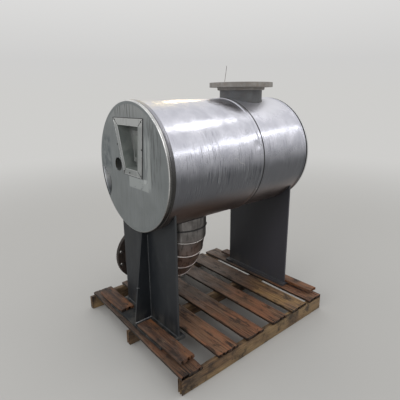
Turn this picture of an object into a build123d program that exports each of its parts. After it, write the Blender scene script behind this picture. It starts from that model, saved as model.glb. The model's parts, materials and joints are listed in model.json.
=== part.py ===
from build123d import *
from math import cos, sin, radians, degrees, sqrt
import os

# Insulated horizontal heat exchanger on two saddles, tied down on a timber pallet.
# X runs along the shell from the window end to the rear end, Y runs across, Z is up.
# Stations along X are counted from the outer face of the front cover. Heights and
# sideways places of the vessel are counted from the shell's axis. The finished model
# stands in the pallet's frame: origin under the middle stringer, half way along it.

os.makedirs("parts", exist_ok=True)

# Clearances
seat_gap = 0.3
sheet_gap = 0.3
mitre_gap = 0.4

# Pressure vessel
shell_radius = 305.0
shell_wall = 10.0
head_thickness = 36.0
head_chamfer = 8.0
nozzle_reach_inside = 41.0
pack_clearance = 16.0
pack_radius = shell_radius - nozzle_reach_inside - pack_clearance
pack_end_radius = 124.0
pack_groove_depth = 9.0
pack_groove_width = 25.0
pack_plate_width = 130.0
pack_end_gap = 30.0

# Cladding: aluminium sheet over mineral wool
wool_thickness = 46.8
jacket_length = 1120.0
sheet = 1.5
jacket_radius = shell_radius + seat_gap + wool_thickness + 3 * sheet_gap + 2 * sheet
seam_station = 677.0
seam_lap = 36.0
seam_bead_station = 652.0
bead_height = 4.0
bead_width = 12.0
swage_station = 34.0
rear_bead_station = 1088.0
cover_lip = 14.0
cover_corner = 6.0
rim_flange = 14.0
notch_land = 2.0
recess_depth = 68.0

# Window in the front cover: (y, z) corners, top left first as seen from outside
window_inner_corners = [(122.0, 228.0), (-97.0, 228.0), (-71.0, -7.0), (59.0, -7.0)]
window_outer_corners = [(166.0, 264.0), (-145.0, 268.0), (-111.0, -41.0), (77.0, -39.0)]
trim_sheet = 1.5

# Hand-cut hole and round notch at the cover's rim
cut_hole_y = 139.0
cut_hole_z = 5.0
cut_hole_radius = 39.0
cut_hole_sides = 11
notch_y = 347.0
notch_z = -132.0
notch_radius = 101.0

# Bare rating plate on its bracket at the back of the window
bracket_y = -10.0
bracket_z = 112.0
bracket_width = 120.0
bracket_height = 170.0
bracket_standoff = 14.0
bracket_sheet = 3.0
stud_radius = 6.0
stud_inset = 20.0
plate_width = 96.0
plate_height = 120.0
plate_sheet = 1.0

# Ten inch nozzles with slip-on flanges
pipe_radius = 136.5
pipe_wall = 9.3
flange_radius = 203.2
flange_thickness = 30.2
flange_hub_radius = 152.5
flange_hub_height = 49.3
flange_hub_chamfer = 6.0
flange_face_radius = 162.0
flange_face_height = 1.6
flange_bolt_circle = 362.0
flange_bolt_radius = 12.7
flange_bolts = 12
pipe_setback = 9.0
nozzle_station = 839.0
nozzle_projection = 97.0
nozzle_face_height = jacket_radius + nozzle_projection
nozzle_inside_height = shell_radius - nozzle_reach_inside
cladding_hole_gap = 3.0

# Bottom elbow, turning to +Y, and its sheet lagging in mitred gores
elbow_station = 324.0
elbow_clearance = 9.0
elbow_start = -(jacket_radius + elbow_clearance)
elbow_radius = 381.0
elbow_face_distance = 508.0
lagging_radius = 158.0
lagging_bead_height = 3.0
lagging_bead_width = 8.0
gore_first_angle = 10.2
gore_step_angle = 10.9
gore_count = 7
lagging_tail = 26.0
lagging_end_sheet = 2.0
collar_sheet = 2.0
collar_reach = 15.0
collar_end = elbow_start - collar_reach

# Saddles
saddle_front_station = 78.0
saddle_rear_station = 1042.0
web_thickness = 12.0
web_half_width = 280.0
web_horn_height = -170.0
rib_thickness = 12.0
rib_top_depth = 34.0
rib_front_depth = 115.0
rib_rear_depth = 64.0
rib_top_gap = 4.0
base_thickness = 16.0
base_half_width = 292.0
base_front_outward = 127.0
base_rear_outward = 75.0
base_inward = 31.0
flange_to_deck_gap = 11.8
base_underside = elbow_start - elbow_radius - flange_radius - flange_to_deck_gap

# Tie wire hooked over the rim of the top flange, its end left standing
wire_radius = 1.5
wire_angle = 77.3
wire_hook = 6.0
wire_height = 115.0
wire_lean = 20.0

# Timber pallet
pallet_front = -90.0
pallet_length = 1219.0
pallet_width = 1067.0
stringer_width = 38.0
stringer_height = 89.0
deck_board = 19.0
deck_widths = [140.0, 151.0, 146.0, 136.0, 153.0, 136.0]
deck_gap_shares = [98.0, 68.0, 85.0, 57.0, 35.0]
lead_board_skew = -1.6
lead_board_inset = 14.0

# Boards that hold the base plates down: width, ends in y, and skew in degrees
hold_down_width = 94.0
hold_down_front_station = -48.0
hold_down_rear_width = 73.0
hold_down_rear_station = 1056.0
hold_down_inner = 44.0
hold_down_left_inner = 150.0
hold_down_left_end = 448.0
hold_down_right_end = -470.0
hold_down_rear_end = 490.0
hold_down_rear_left_end = 400.0

axis_height = stringer_height + deck_board - base_underside
pallet_middle = pallet_front + pallet_length / 2
base_top = base_underside + base_thickness
to_pallet = Location((-pallet_middle, 0, axis_height))

parts = {}


def station(x):
    return Plane.YZ.offset(x)


def disc(radius, x0, x1):
    return extrude(station(x0) * Circle(radius), x1 - x0)


def ring(outer, inner, x0, x1):
    return extrude(station(x0) * (Circle(outer) - Circle(inner)), x1 - x0)


def upright(radius, x, y, z0, z1):
    return extrude(Plane.XY.offset(z0) * Pos(x, y) * Circle(radius), z1 - z0)


def turned(points):
    return revolve(Plane.XZ * make_face(Polyline(*points, close=True)), Axis.X)


def block(x0, x1, y0, y1, z0, z1):
    return Pos((x0 + x1) / 2, (y0 + y1) / 2, (z0 + z1) / 2) * Box(x1 - x0, y1 - y0, z1 - z0)


def polygon_face(corners, x):
    return station(x) * make_face(Polyline(*corners, close=True))


# Pressure vessel
head_front_face = recess_depth
head_rear_face = jacket_length - recess_depth
shell_start = head_front_face + head_thickness
shell_end = head_rear_face - head_thickness
bore_radius = pipe_radius - pipe_wall


def nozzle_drill(radius):
    top = upright(radius, nozzle_station, 0, 0, 2 * jacket_radius)
    bottom = upright(radius, elbow_station, 0, -2 * jacket_radius, 0)
    return top + bottom


def make_shell():
    body = ring(shell_radius, shell_radius - shell_wall, shell_start, shell_end)
    return body - nozzle_drill(pipe_radius + seat_gap)


def make_head(face, inward):
    back = face + inward * head_thickness
    edge = face + inward * head_chamfer
    points = [(face, 0), (face, shell_radius - head_chamfer), (edge, shell_radius),
              (back, shell_radius), (back, 0)]
    return turned(points)


def make_plate_pack():
    start = shell_start + pack_end_gap
    end = shell_end - pack_end_gap
    pitch = pack_plate_width + pack_groove_width
    count = int((end - start - pack_plate_width) / pitch)
    first = (start + end - count * pitch - pack_plate_width) / 2
    points = [(shell_start, 0), (shell_start, pack_end_radius), (first, pack_end_radius)]
    for index in range(count + 1):
        x = first + index * pitch
        points += [(x, pack_radius), (x + pack_plate_width, pack_radius)]
        if index < count:
            points += [(x + pack_plate_width, pack_radius - pack_groove_depth)]
            points += [(x + pitch, pack_radius - pack_groove_depth)]
    last = first + count * pitch + pack_plate_width
    points += [(last, pack_end_radius), (shell_end, pack_end_radius), (shell_end, 0)]
    return turned(points)


parts["vessel_shell"] = make_shell()
parts["vessel_head_front"] = make_head(head_front_face, 1)
parts["vessel_head_rear"] = make_head(head_rear_face, -1)
parts["plate_pack"] = make_plate_pack()

# Cladding
sleeve_outer = jacket_radius - sheet_gap
sleeve_inner = sleeve_outer - sheet
rear_sleeve_outer = sleeve_inner - sheet_gap
rear_sleeve_inner = rear_sleeve_outer - sheet
wool_radius = rear_sleeve_inner - sheet_gap


def bead_points(x, radius):
    half = bead_width / 2
    return [(x - half, radius), (x - half / 3, radius + bead_height),
            (x + half / 3, radius + bead_height), (x + half, radius)]


def make_sleeve(outer, x0, x1, beads):
    inner = outer - sheet
    points = [(x0, outer)]
    for x in beads:
        points += bead_points(x, outer)
    points += [(x1, outer), (x1, inner)]
    for x in reversed(beads):
        points += reversed(bead_points(x, inner))
    points += [(x0, inner)]
    return turned(points)


def saddle_slots(clearance):
    slots = []
    for x in (saddle_front_station, saddle_rear_station):
        slots.append(block(x - clearance, x + web_thickness + clearance,
                           -web_half_width - clearance, web_half_width + clearance,
                           -2 * jacket_radius, web_horn_height + clearance))
    return slots


def bend_centre(sleeve):
    """Radius at which a cover that laps over a sleeve starts to turn into its lip."""
    return sleeve + sheet_gap + sheet - cover_corner


def corner_arc(face, inward, centre, radius):
    """Quarter round from the cover's flat face to its lip."""
    start = face + inward * (cover_corner - radius)
    middle = face + inward * (cover_corner - radius * sqrt(0.5))
    end = face + inward * cover_corner
    return ThreePointArc((start, centre), (middle, centre + radius * sqrt(0.5)),
                         (end, centre + radius))


def make_cover_rim(face, inward, sleeve):
    """Band that laps over the jacket's end, with a rounded corner and a flat flange."""
    lip = face + inward * cover_lip
    centre = bend_centre(sleeve)
    outside = corner_arc(face, inward, centre, cover_corner)
    inside = corner_arc(face, inward, centre, cover_corner - sheet)
    bore = centre - rim_flange
    outline = [
        outside,
        Polyline(outside @ 1, (lip, centre + cover_corner),
                 (lip, centre + cover_corner - sheet), inside @ 1),
        inside,
        Polyline(inside @ 0, (face + inward * sheet, bore), (face, bore), outside @ 0),
    ]
    return revolve(Plane.XZ * make_face(outline), Axis.X)


def make_cover(face, inward, radius):
    edges = sorted((face, face + inward * sheet))
    return disc(radius, edges[0], edges[1])


def make_rear_cover():
    flat = make_cover(jacket_length, -1, bend_centre(rear_sleeve_outer))
    return flat + make_cover_rim(jacket_length, -1, rear_sleeve_outer)


def through_cut(sketch):
    """Cut that runs from in front of the front cover to well behind it."""
    return extrude(station(-sheet) * sketch, 4 * sheet)


def notch_cut():
    return through_cut(Pos(notch_y, notch_z) * Circle(notch_radius))


def make_front_rim():
    """The notch goes through the rim's flange and stops short of its rounded corner."""
    flat = disc(bend_centre(sleeve_outer) - notch_land, -sheet, 3 * sheet)
    return make_cover_rim(0, 1, sleeve_outer) - (notch_cut() & flat)


def make_front_cover():
    cover = make_cover(0, 1, bend_centre(sleeve_outer) - rim_flange - sheet_gap)
    window = extrude(polygon_face(window_inner_corners, -sheet), 4 * sheet)
    hole = through_cut(Pos(cut_hole_y, cut_hole_z)
                       * RegularPolygon(cut_hole_radius, cut_hole_sides))
    return cover - window - hole - notch_cut()


def inset(corners, distance):
    face = make_face(Polyline(*corners, close=True))
    return offset(face, -distance, kind=Kind.INTERSECTION)


def make_window_liner():
    outer = inset(window_inner_corners, sheet_gap)
    inner = inset(window_inner_corners, sheet_gap + sheet)
    return extrude(station(-trim_sheet) * (outer - inner), recess_depth + trim_sheet)


def toward(a, b, distance):
    span = sqrt((b[0] - a[0]) ** 2 + (b[1] - a[1]) ** 2)
    return (a[0] + (b[0] - a[0]) * distance / span, a[1] + (b[1] - a[1]) * distance / span)


def make_window_trim():
    strips = []
    for index in range(4):
        after = (index + 1) % 4
        a, b = window_outer_corners[index], window_outer_corners[after]
        c, d = window_inner_corners[after], window_inner_corners[index]
        corners = [toward(a, b, mitre_gap), toward(b, a, mitre_gap),
                   toward(c, d, mitre_gap), toward(d, c, mitre_gap)]
        strips.append(extrude(polygon_face(corners, -trim_sheet), trim_sheet))
    return Compound(strips)


def rectangle_at(y, z, width, height, x):
    return station(x) * Pos(y, z) * Rectangle(width, height)


def make_bracket():
    face = head_front_face - bracket_standoff
    sheet_part = extrude(rectangle_at(bracket_y, bracket_z, bracket_width, bracket_height,
                                      face - bracket_sheet), bracket_sheet)
    studs = Plane.YZ.offset(face) * GridLocations(bracket_width - 2 * stud_inset,
                                                bracket_height - 2 * stud_inset, 2, 2)
    shift = Pos(0, bracket_y, bracket_z)
    body = sheet_part
    for spot in studs:
        body += shift * extrude(spot * Circle(stud_radius), bracket_standoff)
    return body


def make_rating_plate():
    back = head_front_face - bracket_standoff - bracket_sheet
    return extrude(rectangle_at(bracket_y, bracket_z, plate_width, plate_height,
                                back - plate_sheet), plate_sheet)


def make_wool():
    body = ring(wool_radius, shell_radius + seat_gap, head_front_face, head_rear_face)
    body -= nozzle_drill(pipe_radius + seat_gap)
    for slot in saddle_slots(seat_gap):
        body -= slot
    return body


def make_jacket_front():
    body = make_sleeve(sleeve_outer, cover_corner, seam_station,
                       [swage_station, seam_bead_station])
    body -= upright(pipe_radius + cladding_hole_gap, elbow_station, 0, -2 * jacket_radius, 0)
    return body - saddle_slots(cladding_hole_gap)[0]


def make_jacket_rear():
    end = jacket_length - cover_corner
    start = seam_station - seam_lap
    body = make_sleeve(rear_sleeve_outer, start, end, [rear_bead_station])
    body -= upright(pipe_radius + cladding_hole_gap, nozzle_station, 0, 0, 2 * jacket_radius)
    return body - saddle_slots(cladding_hole_gap)[1]


parts["insulation_wool"] = make_wool()
parts["jacket_front"] = make_jacket_front()
parts["jacket_rear"] = make_jacket_rear()
parts["front_cover"] = make_front_cover()
parts["front_cover_rim"] = make_front_rim()
parts["rear_cover"] = make_rear_cover()
parts["window_liner"] = make_window_liner()
parts["window_trim"] = make_window_trim()
parts["rating_plate_bracket"] = make_bracket()
parts["blank_rating_plate"] = make_rating_plate()


# Nozzles
def make_flange():
    """Slip-on flange about Z, gasket face up at the origin, hub below."""
    disc_bottom = -flange_thickness
    body = upright(flange_radius, 0, 0, disc_bottom, -flange_face_height)
    body += upright(flange_face_radius, 0, 0, -flange_face_height, 0)
    hub = upright(flange_hub_radius, 0, 0, -flange_hub_height, disc_bottom)
    body += chamfer(hub.edges().group_by(Axis.Z)[0], flange_hub_chamfer)
    body -= upright(pipe_radius + seat_gap, 0, 0, -flange_hub_height, 0)
    half_step = 180 / flange_bolts
    for spot in PolarLocations(flange_bolt_circle / 2, flange_bolts, start_angle=half_step):
        drill = extrude(spot * Circle(flange_bolt_radius), flange_thickness)
        body -= Pos(0, 0, -flange_thickness) * drill
    return body


def make_top_pipe():
    top = nozzle_face_height - pipe_setback
    outer = upright(pipe_radius, nozzle_station, 0, nozzle_inside_height, top)
    return outer - upright(bore_radius, nozzle_station, 0, nozzle_inside_height, top)


outlet_height = elbow_start - elbow_radius
outlet_plane = Plane((elbow_station, elbow_radius, outlet_height), x_dir=(1, 0, 0),
                     z_dir=(0, 1, 0))


def bend_solid(radius):
    face = Plane.XY.offset(elbow_start) * Pos(elbow_station, 0) * Circle(radius)
    centre_line = Axis((elbow_station, elbow_radius, elbow_start), (1, 0, 0))
    return revolve(face, centre_line, 90)


def neck_solid(radius):
    return upright(radius, elbow_station, 0, elbow_start, -nozzle_inside_height)


def outlet_solid(radius):
    straight = elbow_face_distance - pipe_setback - elbow_radius
    return extrude(outlet_plane * Circle(radius), straight)


def wedge(angle0, angle1, reach):
    """Slice of space between two planes through the bend's centre line."""
    centre = (elbow_radius, elbow_start)
    middle = (angle0 + angle1) / 2
    corners = [centre]
    for angle in (angle0, middle, angle1):
        a = radians(angle)
        corners.append((centre[0] - reach * cos(a), centre[1] - reach * sin(a)))
    face = station(elbow_station - reach) * make_face(Polyline(*corners, close=True))
    return extrude(face, 2 * reach)


def lagging_cylinder(angle, radius, length):
    """Cylinder whose axis touches the bend's centre line at the given angle."""
    a = radians(angle)
    point = (elbow_station, elbow_radius * (1 - cos(a)), elbow_start - elbow_radius * sin(a))
    direction = (0, sin(a), -cos(a))
    plane = Plane(point, x_dir=(1, 0, 0), z_dir=direction)
    return plane * Cylinder(radius, length)


def make_gore(angle0, angle1):
    """Straight mitred length of lagging whose bore just clears the bend inside it."""
    middle = (angle0 + angle1) / 2
    intrados = elbow_radius - pipe_radius - seat_gap
    bore = elbow_radius - intrados * cos(radians(gore_step_angle / 2))
    body = lagging_cylinder(middle, lagging_radius, 3 * lagging_radius)
    bead_angle = angle0 + degrees(lagging_bead_width / elbow_radius)
    body += lagging_cylinder(bead_angle, lagging_radius + lagging_bead_height,
                             lagging_bead_width)
    body -= lagging_cylinder(middle, bore, 4 * lagging_radius)
    return body & wedge(angle0, angle1, 2 * elbow_radius)


def end_length(axis_angle, angle0, angle1):
    """Straight lagging carried on past the bend's end, as far as the next mitre."""
    body = lagging_cylinder(axis_angle, lagging_radius, 4 * lagging_radius)
    return body & wedge(angle0, angle1, 2 * elbow_radius)


def add_lagging():
    bend = bend_solid(pipe_radius + seat_gap)
    top = -sqrt(jacket_radius ** 2 - lagging_radius ** 2)
    shell_body = disc(jacket_radius + bead_height, 0, jacket_length)
    neck = upright(lagging_radius, elbow_station, 0, elbow_start, top) - shell_body
    neck += end_length(0, 0, gore_first_angle)
    parts["lagging_neck"] = neck - bend - neck_solid(pipe_radius + seat_gap)
    collar_inner = lagging_radius + seat_gap
    collar = upright(collar_inner + collar_sheet, elbow_station, 0, collar_end, top)
    collar -= upright(collar_inner, elbow_station, 0, collar_end, top)
    parts["lagging_collar"] = collar - shell_body
    for index in range(gore_count):
        start = gore_first_angle + index * gore_step_angle
        parts[f"lagging_gore_{index + 1}"] = make_gore(start, start + gore_step_angle)
    last = gore_first_angle + gore_count * gore_step_angle
    tail = extrude(outlet_plane * Circle(lagging_radius), lagging_tail)
    tail += end_length(90, last, 90)
    parts["lagging_end_band"] = tail - bend - outlet_solid(pipe_radius + seat_gap)


parts["top_nozzle_pipe"] = make_top_pipe()
parts["top_flange"] = Pos(nozzle_station, 0, nozzle_face_height) * make_flange()
parts["bottom_nozzle_pipe"] = neck_solid(pipe_radius) - neck_solid(bore_radius)
parts["bottom_elbow"] = bend_solid(pipe_radius) - bend_solid(bore_radius)
parts["bottom_outlet_pipe"] = outlet_solid(pipe_radius) - outlet_solid(bore_radius)
outlet = outlet_plane.offset(elbow_face_distance - elbow_radius)
parts["bottom_flange"] = outlet.location * make_flange()
add_lagging()


def make_tie_wire():
    """Hook under the flange, straight up its rim, then leaning toward the rear."""
    under = nozzle_face_height - flange_thickness - seat_gap - wire_radius
    outside = flange_radius + seat_gap + wire_radius
    a = radians(wire_angle)

    def spot(reach, height, lean=0):
        return (nozzle_station + reach * cos(a) + lean, reach * sin(a), height)

    path = Polyline(spot(outside - wire_hook, under), spot(outside, under),
                    spot(outside, nozzle_face_height),
                    spot(outside, nozzle_face_height + wire_height, wire_lean))
    start = Plane(spot(outside - wire_hook, under), z_dir=(cos(a), sin(a), 0))
    return sweep(start * Circle(wire_radius), path, transition=Transition.RIGHT)


parts["tie_wire"] = make_tie_wire()


# Saddles
def make_web(x):
    height = web_horn_height - base_top
    body = block(x, x + web_thickness, -web_half_width, web_half_width,
                 base_top, base_top + height)
    return body - disc(shell_radius + seat_gap, x - 1, x + web_thickness + 1)


def make_rib(root, outward, bottom_depth):
    top = -jacket_radius - bead_height - rib_top_gap
    corners = [(root, base_top), (root, top), (root + outward * rib_top_depth, top),
               (root + outward * bottom_depth, base_top)]
    face = Plane.XZ.offset(-rib_thickness / 2) * make_face(Polyline(*corners, close=True))
    return extrude(face, rib_thickness)


def add_saddle(end, x, outward, rib_depth, base_outward):
    parts[f"saddle_{end}_web"] = make_web(x)
    outer_face = x if outward < 0 else x + web_thickness
    inner_face = x + web_thickness if outward < 0 else x
    parts[f"saddle_{end}_rib"] = make_rib(outer_face, outward, rib_depth)
    edges = sorted((outer_face + outward * base_outward, inner_face - outward * base_inward))
    parts[f"saddle_{end}_base"] = block(edges[0], edges[1], -base_half_width, base_half_width,
                                        base_underside, base_top)


add_saddle("front", saddle_front_station, -1, rib_front_depth, base_front_outward)
add_saddle("rear", saddle_rear_station, 1, rib_rear_depth, base_rear_outward)

# Pallet
deck_underside = base_underside - deck_board
half_width = pallet_width / 2


def make_stringer(y):
    return block(pallet_front, pallet_front + pallet_length, y - stringer_width / 2,
                 y + stringer_width / 2, -axis_height, deck_underside)


def make_deck():
    """Boards at uneven gaps that share out whatever length the boards leave."""
    spare = pallet_length - lead_board_inset - sum(deck_widths)
    height = (deck_underside + base_underside) / 2
    edge = pallet_front + lead_board_inset
    boards = []
    for index, width in enumerate(deck_widths):
        skew = lead_board_skew if index == 0 else 0
        board = Box(width, pallet_width, deck_board)
        boards.append(Pos(edge + width / 2, 0, height) * Rot(0, 0, skew) * board)
        if index < len(deck_gap_shares):
            edge += width + spare * deck_gap_shares[index] / sum(deck_gap_shares)
    return Compound(boards)


def make_hold_down(x, width, y0, y1):
    return block(x, x + width, min(y0, y1), max(y0, y1), base_top, base_top + deck_board)


stringer_reach = half_width - stringer_width / 2
parts["pallet_stringer_right"] = make_stringer(-stringer_reach)
parts["pallet_stringer_middle"] = make_stringer(0)
parts["pallet_stringer_left"] = make_stringer(stringer_reach)
parts["pallet_deck_boards"] = make_deck()
parts["hold_down_front_left"] = make_hold_down(
    hold_down_front_station, hold_down_width, hold_down_left_inner, hold_down_left_end)
parts["hold_down_front_right"] = make_hold_down(
    hold_down_front_station, hold_down_width, -hold_down_inner, hold_down_right_end)
parts["hold_down_rear_left"] = make_hold_down(
    hold_down_rear_station, hold_down_rear_width, hold_down_left_inner, hold_down_rear_left_end)
parts["hold_down_rear_right"] = make_hold_down(
    hold_down_rear_station, hold_down_rear_width, -hold_down_left_inner, -hold_down_rear_end)

for node, shape in parts.items():
    export_step(to_pallet * shape, f"parts/{node}.step")
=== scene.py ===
import bpy
import bmesh
import json
import math
import random
from mathutils import Matrix, Vector, noise


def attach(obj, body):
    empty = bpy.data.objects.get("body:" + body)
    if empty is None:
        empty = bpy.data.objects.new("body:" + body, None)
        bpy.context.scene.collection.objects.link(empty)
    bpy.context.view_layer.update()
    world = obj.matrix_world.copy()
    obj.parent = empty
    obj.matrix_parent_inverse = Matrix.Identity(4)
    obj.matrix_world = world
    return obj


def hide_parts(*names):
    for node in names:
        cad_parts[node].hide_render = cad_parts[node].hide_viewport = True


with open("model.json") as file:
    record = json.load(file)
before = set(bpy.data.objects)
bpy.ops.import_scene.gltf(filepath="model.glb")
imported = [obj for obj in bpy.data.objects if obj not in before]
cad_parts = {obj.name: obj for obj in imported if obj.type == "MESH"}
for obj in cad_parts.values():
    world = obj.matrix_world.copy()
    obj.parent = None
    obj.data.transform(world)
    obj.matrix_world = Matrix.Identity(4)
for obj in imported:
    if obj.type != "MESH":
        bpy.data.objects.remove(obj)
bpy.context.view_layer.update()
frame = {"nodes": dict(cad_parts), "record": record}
nodes = frame["nodes"]
scene = bpy.context.scene
scene.view_settings.view_transform = "Standard"

# Places are in the vessel's millimetres: x runs back from the front cover, y across toward the
# bottom outlet and z up from the shell's axis. Bars' radii, shaders and lamps are in metres.
AXIS_X = 519.5
AXIS_Z = 1069.0
JACKET_R = 356.0
FRONT_LAP = 17.5
SEAM = 677.0
REAR_LAP = 1102.0
NOZZLE_X = 839.0

# The window's corners as y and z, the trim's screws, and the round notch in the cover's rim
OUTER_CORNERS = ((166.0, 264.0), (-145.0, 268.0), (-111.0, -41.0), (77.0, -39.0))
INNER_CORNERS = ((122.0, 228.0), (-97.0, 228.0), (-71.0, -7.0), (59.0, -7.0))
WINDOW_MIDDLE = (0.0, 112.0)
COVER_SCREWS = ((150, 253), (-127, 252), (-120, 112), (133, 120), (72, -24), (-102, -28), (14, -26))
NOTCH_Y = 347.0
NOTCH_Z = -132.0
NOTCH_R = 101.0

# The lagged elbow, whose gores start at even angles along its bend
ELBOW_X = 324.0
ELBOW_Z = -365.0
ELBOW_R = 381.0
LAGGING_R = 158.0
GORE_COUNT = 7
GORE_FIRST = 10.2
GORE_STEP = 10.9

# The pallet, with each deck board's width and the gap behind it
FLOOR_Z = -AXIS_Z
PALLET_FRONT = -90.0
PALLET_LENGTH = 1219.0
PALLET_WIDTH = 1067.0
STRINGER_HEIGHT = 89.0
STRINGER_WIDTH = 38.0
BOARD = 19.0
FIRST_BOARD_INSET = 14.0
FIRST_BOARD_SKEW = -1.6
DECK_BOARDS = ((140.0, 98.0), (151.0, 68.0), (146.0, 85.0), (136.0, 57.0), (153.0, 35.0), (136.0, 0.0))
STRINGERS = {"right": (-514.5, 35), "middle": (0.0, 31), "left": (514.5, 34)}
DECK_TOP = FLOOR_Z + STRINGER_HEIGHT + BOARD

# The saddles' plates, and the boards that hold them down as their first and last x and y
BASE_TOP = DECK_TOP + 16.0
FRONT_WEB = (78.0, 90.0)
REAR_WEB = (1042.0, 1054.0)
WEB_HALF_WIDTH = 280.0
RIB_FACE = 6.0
RIB_WELD_TOP = -400.0
WELD_Z = BASE_TOP + 0.6
HOLD_DOWNS = {
    "hold_down_front_left": (-48, 46, 150, 448),
    "hold_down_front_right": (-48, 46, -470, -44),
    "hold_down_rear_left": (1056, 1129, 150, 400),
    "hold_down_rear_right": (1056, 1129, -490, -150),
}
NAIL_SUNK = 1.2

# Camera and backdrop
CAMERA_PLACE = (-1.4881, -1.7301, 1.4508)
CAMERA_TURN = math.radians(40.03)
CAMERA_PITCH = math.radians(16.117)
CAMERA_ROLL = math.radians(-0.487)
LENS = 32.94
SENSOR = 36
CLIP_END = 60
BACKDROP = (0.62, 0.615, 0.60)


def at(x, y, z):
    """Frame point of a place in the vessel's millimetres."""
    return Vector(((x - AXIS_X) / 1000, y / 1000, (z + AXIS_Z) / 1000))


def station(x):
    """Place along the vessel in frame metres."""
    return (x - AXIS_X) / 1000


def round_vessel(x, angle, radius):
    """Frame point round the vessel; the angle runs from the crown toward +Y."""
    return at(x, radius * math.sin(angle), radius * math.cos(angle))


def on_near_side(x, degrees, radius):
    """Frame point on the vessel's near side; the angle is the height of its normal above level."""
    angle = math.radians(degrees)
    return at(x, -radius * math.cos(angle), radius * math.sin(angle))


# Camera
def add_camera():
    forward = Vector((math.sin(CAMERA_TURN) * math.cos(CAMERA_PITCH),
                      math.cos(CAMERA_TURN) * math.cos(CAMERA_PITCH),
                      -math.sin(CAMERA_PITCH)))
    level = Vector((math.cos(CAMERA_TURN), -math.sin(CAMERA_TURN), 0))
    above = level.cross(forward)
    right = level * math.cos(CAMERA_ROLL) + above * math.sin(CAMERA_ROLL)
    up = -level * math.sin(CAMERA_ROLL) + above * math.cos(CAMERA_ROLL)
    camera = bpy.data.objects.new("camera", bpy.data.cameras.new("camera"))
    scene.collection.objects.link(camera)
    axes = Matrix((right, up, -forward)).transposed().to_4x4()
    camera.matrix_world = Matrix.Translation(CAMERA_PLACE) @ axes
    camera.data.sensor_width = SENSOR
    camera.data.lens = LENS
    camera.data.clip_end = CLIP_END
    scene.camera = camera


add_camera()


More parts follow.
